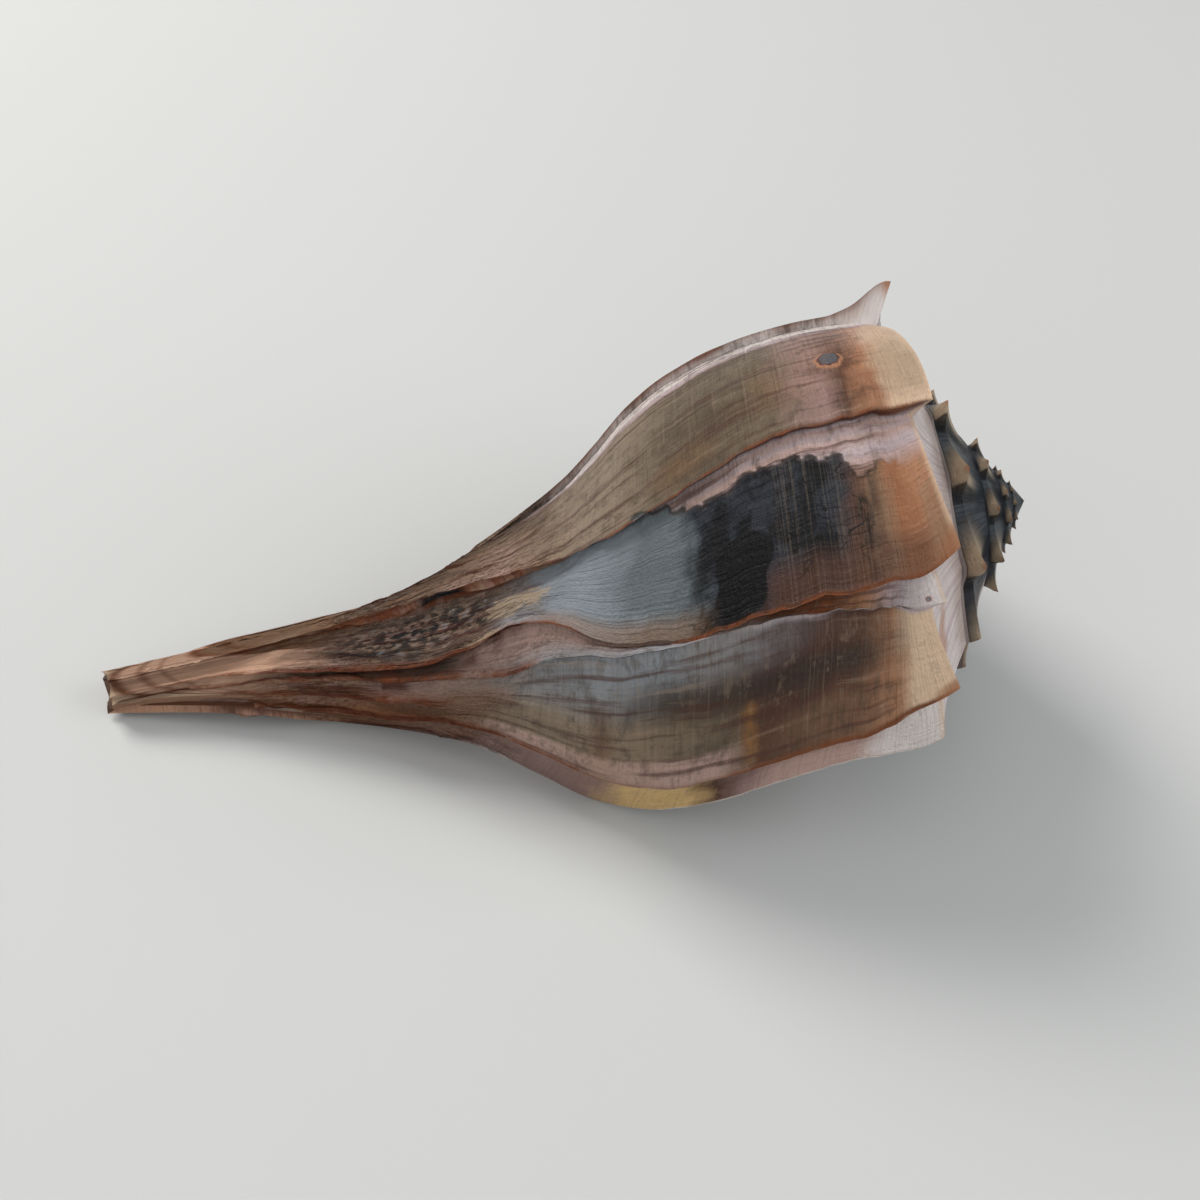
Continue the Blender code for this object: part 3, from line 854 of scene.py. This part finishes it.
def worn_body(sheet, turn, depth):
    """The body's own colours: bands, stages, growth lines and faint threads round the whorl."""
    round_way = turn * WHORL_ROUND
    wander = sheet.rough(round_way, depth, 0.05, 2.0) - 0.5
    drift = sheet.rough(round_way, depth, 0.16, 3.0) - 0.5
    along = turn + wander * 0.006 + drift * 0.003
    older = band_colour(sheet, along, OLDER_BANDS)
    younger = band_colour(sheet, along, YOUNGER_BANDS)
    base = sheet.mix(sheet.step(along, -0.41, -0.40), older, younger)
    shifted = depth + drift * 9.0 + wander * 5.0
    for start, end, stops in STAGES:
        inside = between(sheet, along, start, end, 0.003)
        base = sheet.mix(inside, base, depth_colour(sheet, shifted, stops))

    # The stage under the long ledge: rosy near the spine, orange near its edge, ochre patches
    rosy = sheet.step(along, -0.29, -0.35) * sheet.near(depth, 12.0, 14.0)
    base = sheet.mix(rosy * sheet.step(along, -0.357, -0.352) * 0.5, base, PINK)
    warm = between(sheet, along, -0.285, -0.246, 0.02) * sheet.near(depth, 11.0, 7.0)
    base = sheet.mix(warm * 0.25, base, ORANGE)
    ochre = sheet.spot(along, depth, -0.264, 50.0, 0.018, 9.0)
    ochre = ochre + sheet.spot(turn, depth, -0.252, 86.0, 0.012, 8.0)
    base = sheet.mix(ochre * 0.4, base, AMBER)

    # The youngest full stage: blue-grey under its pale crest, ruddy at its foot, amber streaks
    blue = sheet.spot(along, shifted, -0.106, 60.0, 0.028, 38.0)
    base = sheet.mix(blue * 0.85, base, BLUE_GREY)
    belt = sheet.near(along, -0.088, 0.015) * between(sheet, shifted, 22.0, 50.0, 14.0)
    base = sheet.mix(belt * 0.9, base, PURPLE_DARK)
    ruddy = sheet.spot(along, shifted, -0.062, 22.0, 0.016, 15.0)
    base = sheet.mix(ruddy * 0.45, base, TAN)
    ragged = depth + drift * 3.0
    amber = sheet.near(ragged, 37.5, 2.4) * between(sheet, turn, -0.078, -0.058, 0.006)
    base = sheet.mix(amber * 0.8, base, AMBER)
    streak = sheet.near(ragged, 63.0, 2.8) * between(sheet, turn, -0.084, -0.066, 0.01)
    base = sheet.mix(streak * 0.6, base, UMBER)
    sill = between(sheet, turn, -0.0625, -0.0545, 0.004) * between(sheet, depth, 44.0, 80.0, 8.0)
    base = sheet.mix(sill * 0.85, base, PINK)
    bleached = sheet.step(turn, -0.028, -0.044) * sheet.step(turn, -0.052, -0.0495)
    base = sheet.mix(bleached * sheet.step(depth, 32.0, 14.0) * 0.85, base, WHITE)

    blotch = sheet.rough(round_way, depth, 0.035, 3.0, z=4.0)
    speckle = sheet.rough(round_way, depth, 0.5, 4.0, 0.65, z=1.0)
    before_lip = sheet.step(turn, -0.045, -0.06)
    base = sheet.mix(sheet.step(blotch, 0.5, 0.7) * before_lip * 0.4, base, OLIVE_DARK)
    base = sheet.mix(sheet.step(blotch, 0.48, 0.28) * 0.25, base, AMBER)
    calm = sheet.step(turn, -0.042, -0.058) * sheet.step(depth, 5.0, 17.0) * 0.85 + 0.15
    base = sheet.mix(sheet.step(speckle, 0.48, 0.66) * calm * 0.5, base, OLIVE_DARK)
    base = sheet.mix(sheet.step(speckle, 0.46, 0.3) * 0.35, base, OLIVE_PALE)
    marked = before_lip * sheet.step(abs(depth), 5.0, 17.0)
    lines = sheet.rough(round_way, depth * 0.035, 1.0, 4.0, 0.6)
    base = sheet.mix(sheet.step(lines, 0.5, 0.66) * marked * 0.7, base, PURPLE_BROWN)
    base = sheet.mix(sheet.step(lines, 0.44, 0.28) * 0.16, base, CREAM)
    threads = sheet.rough(round_way * 0.03, depth * 2.2, 1.0, 3.0, 0.7, z=2.0)
    base = sheet.mix(sheet.step(threads, 0.5, 0.70) * 0.26, base, UMBER)
    base = sheet.mix(sheet.step(threads, 0.46, 0.28) * 0.1, base, CREAM)
    return base, along, drift, blotch, lines, threads


def slate_layer(sheet, base, along, depth, layer, threads):
    """The dark slate layer before the last ledges, with black crust, cracks and stripes."""
    round_way = along * WHORL_ROUND
    drift = sheet.rough(round_way, depth, 0.12, 2.0, z=13.0) - 0.5
    slate = depth_colour(sheet, depth + drift * 15.0, SLATE_LAYER)
    patches = sheet.rough(round_way * 0.7, depth, 0.13, 4.0, 0.6, z=7.0)
    dark_part = between(sheet, depth, 18.0, 47.0, 6.0)
    slate = sheet.mix(sheet.step(patches, 0.46, 0.56) * dark_part * 0.85, slate, NEAR_BLACK)
    pale_patches = sheet.step(patches, 0.44, 0.3) * sheet.step(depth, 44.0, 56.0)
    slate = sheet.mix(pale_patches * 0.5, slate, BLUE_GREY)
    foot = sheet.step(along, -0.178, -0.158) * between(sheet, depth, 6.0, 34.0, 6.0)
    slate = sheet.mix(foot * 0.65, slate, UMBER)
    blot = sheet.spot(along, depth, -0.160, 41.0, 0.018, 6.0)
    blot = blot + sheet.spot(along, depth, -0.18, 40.0, 0.02, 7.0)
    slate = sheet.mix(sheet.step(blot + patches * 0.6, 0.5, 0.75), slate, NEAR_BLACK)
    foot = sheet.step(along, -0.170, -0.152) * between(sheet, depth, 52.0, 74.0, 8.0)
    slate = sheet.mix(foot * 0.45, slate, AMBER)
    stripes = sheet.step(threads, 0.50, 0.40) * between(sheet, depth, 9.0, 31.0, 5.0)
    slate = sheet.mix(stripes * 0.1, slate, SAND)
    crack = sheet.cells(round_way * 0.085 + drift * 0.5, depth * 0.045 + drift * 0.6)
    broken = sheet.step(sheet.rough(round_way, depth, 0.06, 2.0, z=15.0), 0.46, 0.56)
    slate = sheet.mix(sheet.step(crack, 0.020, 0.008) * dark_part * broken * 0.85, slate, NEAR_BLACK)
    base = sheet.mix(layer, base, slate)
    return sheet.mix(layer * (1 - layer) * 2.8 * sheet.step(depth, 8.0, 16.0), base, NEAR_BLACK)


def edge_lines(sheet, base, turn, depth, worn):
    """Rust on the stained old edges, and a dark line of painted shade in the step under each edge."""
    wide = 1 + sheet.step(depth, 60.0, 105.0) * 2.2
    rust = None
    for back, top, bottom in RUSTY_EDGES:
        beyond = (turn + back) / wide
        line = sheet.step(beyond, -0.0038, -0.0004) * sheet.step(beyond, 0.003, 0.0015)
        line = line * between(sheet, depth, top, bottom, 5.0)
        rust = line if rust is None else rust + line
    # Painted shade: a dark line in the step under each old edge, where the overhang shades the newer
    # wall.
    painted_step_shade = None
    for row in FORMER_LIPS[1:6]:
        shade = sheet.near((turn + row[0] - 0.0018) / wide, 0.0, 0.0014)
        shade = shade * between(sheet, depth, row[5] + 9.0, row[6] - 20.0, 6.0)
        painted_step_shade = shade if painted_step_shade is None else painted_step_shade + shade
    base = sheet.mix(rust * (0.25 + worn * 0.6), base, RUST)
    # The step lines darken the colour as painted shade.
    return sheet.mix(painted_step_shade * 0.8, base, RED_BROWN)


def pitted(sheet, base, turn, depth, at_turn, at_depth, turns, depths):
    """A healed pit: a thin uneven orange-brown rim round a slate middle."""
    wobble = sheet.rough(turn * WHORL_ROUND, depth, 0.9, 2.0, z=14.0) - 0.5
    across = ((turn - at_turn) / turns) ** 2 + ((depth - at_depth) / depths) ** 2
    away = across ** 0.5 + wobble * 0.55
    base = sheet.mix(sheet.step(away, 1.0, 0.85) * 0.75, base, SLATE)
    base = sheet.mix(sheet.near(away, 1.02, 0.3) * 0.9, base, SALMON)
    return sheet.mix(sheet.near(away, 0.80, 0.14) * 0.85, base, RED_BROWN)


def canal_colour(sheet, base, turn, depth, height, drift):
    """The canal: brown and orange folds with dark beads, shaded and lit in paint by their height,
    then a cream tip with nested lines.
    """
    round_way = turn * WHORL_ROUND
    canal = sheet.step(depth + drift * 22.0, 72.0, 92.0)
    lines = sheet.rough(round_way * 0.34, depth * 0.03, 1.0, 4.0, 0.65, z=16.0)
    # Painted shade and highlight: the folds' colour follows their relief height, dark in the furrows
    # and pale to pink on the ridges.
    folds = sheet.mix(sheet.step(height, 0.0, 0.75), CANAL_DARK, CANAL_PALE)
    folds = sheet.mix(sheet.step(height, 0.6, 1.2) * 0.7, folds, PINK)
    grain = sheet.rough(round_way, depth, 0.9, 3.0, 0.6, z=17.0)
    folds = sheet.mix(sheet.step(grain, 0.5, 0.62) * 0.6, folds, RED_BROWN)
    ashen = sheet.rough(round_way, depth * 0.4, 0.09, 2.0, z=5.0)
    folds = sheet.mix(sheet.step(ashen, 0.45, 0.62) * 0.45, folds, OLIVE)
    strip = sheet.spot(turn, depth, -0.198, 103.0, 0.045, 26.0)
    beads = sheet.rough(round_way, depth, 0.45, 2.0, z=6.5)
    folds = sheet.mix(strip * sheet.step(beads, 0.42, 0.56) * 0.95, folds, NEAR_BLACK)
    folds = sheet.mix(strip * sheet.step(beads, 0.40, 0.30) * 0.7, folds, BLUE_GREY)
    rosy = sheet.spot(turn, depth, -0.135, 80.0, 0.034, 15.0)
    rosy = rosy + sheet.spot(turn, depth, -0.095, 92.0, 0.03, 20.0)
    folds = sheet.mix(rosy * 0.75, folds, PINK)
    pale = sheet.spot(turn, depth, -0.09, 84.0, 0.04, 18.0)
    folds = sheet.mix(pale * 0.5, folds, OLIVE_PALE)
    rim_strip = sheet.step(turn, -0.262, -0.275)
    folds = sheet.mix(rim_strip * 0.3, folds, OLIVE_PALE)
    wing = sheet.step(turn, -0.1, -0.085) * between(sheet, depth, 84.0, 125.0, 8.0)
    folds = sheet.mix(wing * 0.35, folds, RUST)
    folds = sheet.mix(sheet.step(lines, 0.5, 0.62) * 0.8, folds, RED_BROWN)
    folds = sheet.mix(sheet.step(lines, 0.42, 0.30) * 0.35, folds, SALMON)
    # Painted shade: the deeper furrows are darkened further.
    folds = sheet.mix(sheet.step(height, -0.05, -0.33) * 0.85, folds, RED_BROWN)
    base = sheet.mix(canal * 0.95, base, folds)
    fibres = sheet.rough(round_way * 1.5, depth * 0.8, 0.5, 3.0, 0.7, z=11.0)
    crust = sheet.spot(turn, depth, -0.195, 83.0, 0.034, 9.0)
    crust = crust + sheet.spot(turn, depth, -0.151, 88.0, 0.012, 6.0)
    crust = crust + sheet.spot(turn, depth, -0.250, 93.5, 0.010, 3.5)
    fibrous = sheet.step(crust * 0.4 + fibres, 0.70, 0.82) * sheet.step(crust, 0.0, 0.3)
    base = sheet.mix(fibrous * 0.75, base, SAND)
    under = sheet.spot(turn, depth, -0.04, 104.0, 0.034, 16.0)
    base = sheet.mix(under * 0.6, base, ORANGE)

    # Growth lines run in from the canal's upper edge, turn, and go on along the canal
    upper_share = (turn + 0.42) / 0.24
    lower_share = (turn + 0.42) / 0.35
    upper = depth - (sheet.log_of(1 - upper_share) * 20.0 + 172.0)
    lower = depth - (sheet.log_of(1 - lower_share) * 9.0 + 190.0 - lower_share * 22.0)
    tip = sheet.step(depth + drift * 14.0, 118.0, 136.0)
    tip_colour = sheet.mix(sheet.step(upper, -2.0, 1.5), TAN, SHELL_PINK)
    tip_colour = sheet.mix(sheet.step(lower, -2.0, 2.0), tip_colour, CREAM)
    tip_colour = sheet.mix(sheet.step(lower, 4.0, 26.0) * 0.7, tip_colour, SHELL_PINK)
    tip_colour = sheet.mix(sheet.near(upper, 0.5, 3.4) * 0.9, tip_colour, RUST)
    tip_colour = sheet.mix(sheet.near(upper, -7.0, 2.5) * 0.6, tip_colour, RUST)
    for offset, reach, strength in TIP_LINES:
        tip_colour = sheet.mix(sheet.near(lower, offset, reach) * strength, tip_colour, RUST)
    tip_colour = sheet.mix(sheet.step(lower, 10.0, 24.0) * 0.5, tip_colour, RUST)
    relief = canal * (1 - tip) * (lines * 2.6 + beads * 1.6 + grain * 0.7)
    return sheet.mix(tip * 0.95, base, tip_colour), relief


def ramp_and_crest(sheet, base, turn, depth, knob, blotch, lines):
    """The ramp above the shoulder, white and pink with tan crackle, and the pale crest."""
    round_way = turn * WHORL_ROUND
    above = sheet.step(depth, 0.5, -1.5)
    crackle = sheet.cells(round_way * 0.35, depth * 0.6)
    ledge = sheet.mix(sheet.step(lines, 0.3, 0.6) * 0.9, LILAC, WHITE)
    ledge = sheet.mix(sheet.step(crackle, 0.09, 0.0) * 0.4, ledge, SALMON)
    ledge = sheet.mix(sheet.step(blotch, 0.5, 0.65) * 0.5, ledge, WHITE)
    ledge = sheet.mix(sheet.step(depth, -8.0, -11.0) * 0.4, ledge, TAN)
    base = sheet.mix(above, base, ledge)
    base = sheet.mix(sheet.near(depth, -0.2, 1.6) * 0.75, base, CREAM)
    for at, turns in ((-0.0545, 0.007), (-0.149, 0.014)):
        base = sheet.mix(sheet.spot(turn, depth, at, 0.5, turns, 4.5) * 0.8, base, ORANGE)
    base = sheet.mix(sheet.spot(turn, depth, -0.075, -4.5, 0.03, 2.0) * 0.7, base, SALMON)
    spine = sheet.step(turn, -0.47, -0.40) * sheet.step(turn, -0.370, -0.385)
    spine = spine * sheet.near(depth, 0.0, 7.0)
    base = sheet.mix(spine * sheet.step(turn, -0.3925, -0.391), base, WHITE)
    base = sheet.mix(spine * sheet.step(turn, -0.392, -0.396) * 0.8, base, ORANGE)
    base = sheet.mix(sheet.step(knob, 0.75, 1.0) * sheet.near(depth, 0.0, 3.5) * 0.8, base, ORANGE)
    face = between(sheet, turn, -0.3935, -0.3885, 0.001) * sheet.near(depth, 0.0, 6.0)
    base = sheet.mix(face * sheet.step(knob, 0.5, 0.9) * 0.8, base, SALMON)
    return base


def spire_colour(sheet, knob, past, blotch, lines):
    """The spire: tan ridges with rusty hooked tips, and painted shade, near black, in the hollow just
    past each.
    """
    dusk = sheet.mix(sheet.step(blotch, 0.45, 0.6), SLATE, SLATE_DARK)
    dusk = sheet.mix(sheet.step(lines, 0.48, 0.6) * 0.5, dusk, NEAR_BLACK)
    dusk = sheet.mix(sheet.step(knob, 0.03, 0.3) * 0.6, dusk, OLIVE_PALE)
    dusk = sheet.mix(sheet.step(knob, 0.2, 0.6) * 0.85, dusk, SAND)
    dusk = sheet.mix(sheet.step(knob, 0.8, 1.0) * 0.8, dusk, ORANGE)
    # Painted shade: the hollow just past each spine's tip is darkened to near black.
    return sheet.mix(sheet.step(past, 0.3, 0.85) * 0.85, dusk, NEAR_BLACK)


def outer_material():
    """The outside: body, slate layer, canal, old edges, ramp, spire and pits, in that order."""
    sheet = Sheet("worn_outside")
    turn, depth, named = growth_marks(sheet)
    round_way = turn * WHORL_ROUND
    base, along, drift, blotch, lines, threads = worn_body(sheet, turn, depth)
    base = slate_layer(sheet, base, along, depth, named["layer"], threads)
    base, folds = canal_colour(sheet, base, turn, depth, named["height"], drift)
    worn = sheet.step(sheet.rough(round_way, depth, 0.3, 2.0, z=3.0), 0.3, 0.6)
    base = edge_lines(sheet, base, turn, depth, worn)
    base = ramp_and_crest(sheet, base, turn, depth, named["knob"], blotch, lines)
    spire = spire_colour(sheet, named["knob"], named["past"], blotch, lines)
    base = sheet.mix(sheet.step(turn, -0.985, -1.02), base, spire)
    base = pitted(sheet, base, turn, depth, *LARGE_PIT, 0.0088, 2.7)
    base = pitted(sheet, base, turn, depth, *SMALL_PIT, 0.002, 0.6)
    # Painted shade: near black in the slot in the canal, standing for the dark inside its opening.
    base = sheet.mix(sheet.step(named["gap"], 0.1, 0.55), base, NEAR_BLACK)

    sheet.finish("Base Color", base)
    fine = sheet.rough(round_way, depth, 1.6, 4.0, 0.6, z=8.0)
    sheet.finish("Roughness", 0.17 + fine * 0.32)
    sheet.shader.inputs["Specular IOR Level"].default_value = GLASSY
    thread_height = sheet.rough(round_way * 0.05, depth * 1.5, 1.0, 3.0, 0.7, z=12.0)
    relief = thread_height * 0.4 + lines * 0.6 + fine * 0.35 + folds
    bump = sheet.node(
        "ShaderNodeBump", {}, {"Strength": 1.0, "Distance": 0.0012, "Height": relief}
    )
    sheet.finish("Normal", bump)
    return sheet.material


def inner_material():
    """Smooth porcelain, cream at the lip and peach further in, with painted shade in umber deep in
    the canal.
    """
    sheet = Sheet("porcelain_inside")
    turn, depth, _ = growth_marks(sheet)
    cloud = sheet.rough(turn * 120.0, depth, 0.05, 3.0)
    deeper = sheet.step(turn + cloud * 0.1, 0.02, -0.3)
    base = sheet.mix(deeper, PORCELAIN, PEACH)
    # Painted shade: umber deep in the canal's channel.
    base = sheet.mix(sheet.step(depth, 92.0, 120.0), base, UMBER)
    streaks = sheet.rough(turn * 300.0, depth * 0.03, 0.5, 3.0)
    base = sheet.mix(sheet.step(streaks, 0.55, 0.75) * 0.35, base, PURPLE_BROWN)
    sheet.finish("Base Color", base)
    sheet.finish("Roughness", 0.2 + cloud * 0.12)
    return sheet.material


def plain_material(name, colour, roughness):
    """One even finish."""
    sheet = Sheet(name)
    sheet.finish("Base Color", colour)
    sheet.finish("Roughness", roughness)
    return sheet.material


def shell_piece():
    """The shell as one closed mesh with its growth coordinates and marks."""
    points, outer_faces, inner_faces, marks = shell_surface()
    mesh = bpy.data.meshes.new("whelk")
    mesh.from_pydata((points * MILLIMETRE).tolist(), [], outer_faces + inner_faces)
    piece = bpy.data.objects.new("whelk", mesh)
    bpy.context.scene.collection.objects.link(piece)
    mesh.materials.append(outer_material())
    mesh.materials.append(inner_material())
    of_face = np.repeat([0, 1], [len(outer_faces), len(inner_faces)])
    mesh.polygons.foreach_set("material_index", of_face.astype(np.int32))
    corners = np.empty(len(mesh.loops), np.int32)
    mesh.loops.foreach_get("vertex_index", corners)
    growth = mesh.uv_layers.new(name="growth")
    spots = marks[corners, :2] / (1, DEPTH_IN_MAP)
    growth.data.foreach_set("uv", spots.astype(np.float32).ravel())
    for column, name in enumerate(MARKS, start=2):
        attribute = mesh.attributes.new(name, "FLOAT", "POINT")
        attribute.data.foreach_set("value", marks[:, column].astype(np.float32))
    mesh.shade_smooth()
    mesh.set_sharp_from_angle(angle=CRISP_ANGLE)
    return piece


def stage_floor():
    """A plain pale floor."""
    mesh = bpy.data.meshes.new("floor")
    corners = [(x * FLOOR_REACH, y * FLOOR_REACH, 0) for x, y in ((-1, -1), (1, -1), (1, 1), (-1, 1))]
    mesh.from_pydata(corners, [], [(0, 1, 2, 3)])
    floor = bpy.data.objects.new("floor", mesh)
    mesh.materials.append(plain_material("pale_floor", paint(188, 189, 188), 0.75))
    bpy.context.scene.collection.objects.link(floor)
    return floor


def soft_light(name, position, size, power, colour):
    """A large square lamp that faces the shell."""
    lamp = bpy.data.lights.new(name, "AREA")
    lamp.energy = power
    lamp.size = size
    lamp.color = colour
    light = bpy.data.objects.new(name, lamp)
    light.location = position
    aim = Vector((0, 0, 0.03)) - light.location
    light.rotation_euler = aim.to_track_quat("-Z", "Y").to_euler()
    bpy.context.scene.collection.objects.link(light)


def camera():
    """The camera where the photograph was taken from."""
    forward = np.array([0, np.cos(CAMERA_RISE), -np.sin(CAMERA_RISE)])
    level = np.array([1.0, 0, 0])
    upright = np.cross(level, forward)
    right = level * np.cos(CAMERA_ROLL) + upright * np.sin(CAMERA_ROLL)
    up = upright * np.cos(CAMERA_ROLL) - level * np.sin(CAMERA_ROLL)
    spot = (CAMERA_TARGET - forward * CAMERA_DISTANCE) * MILLIMETRE
    lens = bpy.data.cameras.new("camera")
    lens.angle = CAMERA_ANGLE
    lens.clip_start = 0.01
    eye = bpy.data.objects.new("camera", lens)
    rows = [[right[n], up[n], -forward[n], spot[n]] for n in range(3)] + [[0, 0, 0, 1]]
    eye.matrix_world = Matrix(rows)
    bpy.context.scene.collection.objects.link(eye)
    bpy.context.scene.camera = eye


shell = shell_piece()
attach(shell, "root")
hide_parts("shell")
stage_floor()
soft_light("window", (-0.7, 0.6, 0.9), 0.6, 15.5, (1.0, 0.97, 0.94))
soft_light("front", (-0.3, -0.8, 1.1), 2.4, 13, (1.0, 0.99, 0.97))
soft_light("right", (1.0, -0.1, 0.6), 0.9, 7, (0.93, 0.97, 1.0))
sky = bpy.data.worlds.new("studio")
sky.use_nodes = True
sky.node_tree.nodes["Background"].inputs[0].default_value = (0.9, 0.93, 0.95, 1)
sky.node_tree.nodes["Background"].inputs[1].default_value = STUDIO_GLOW
bpy.context.scene.world = sky
bpy.context.scene.view_settings.view_transform = "Standard"
camera()
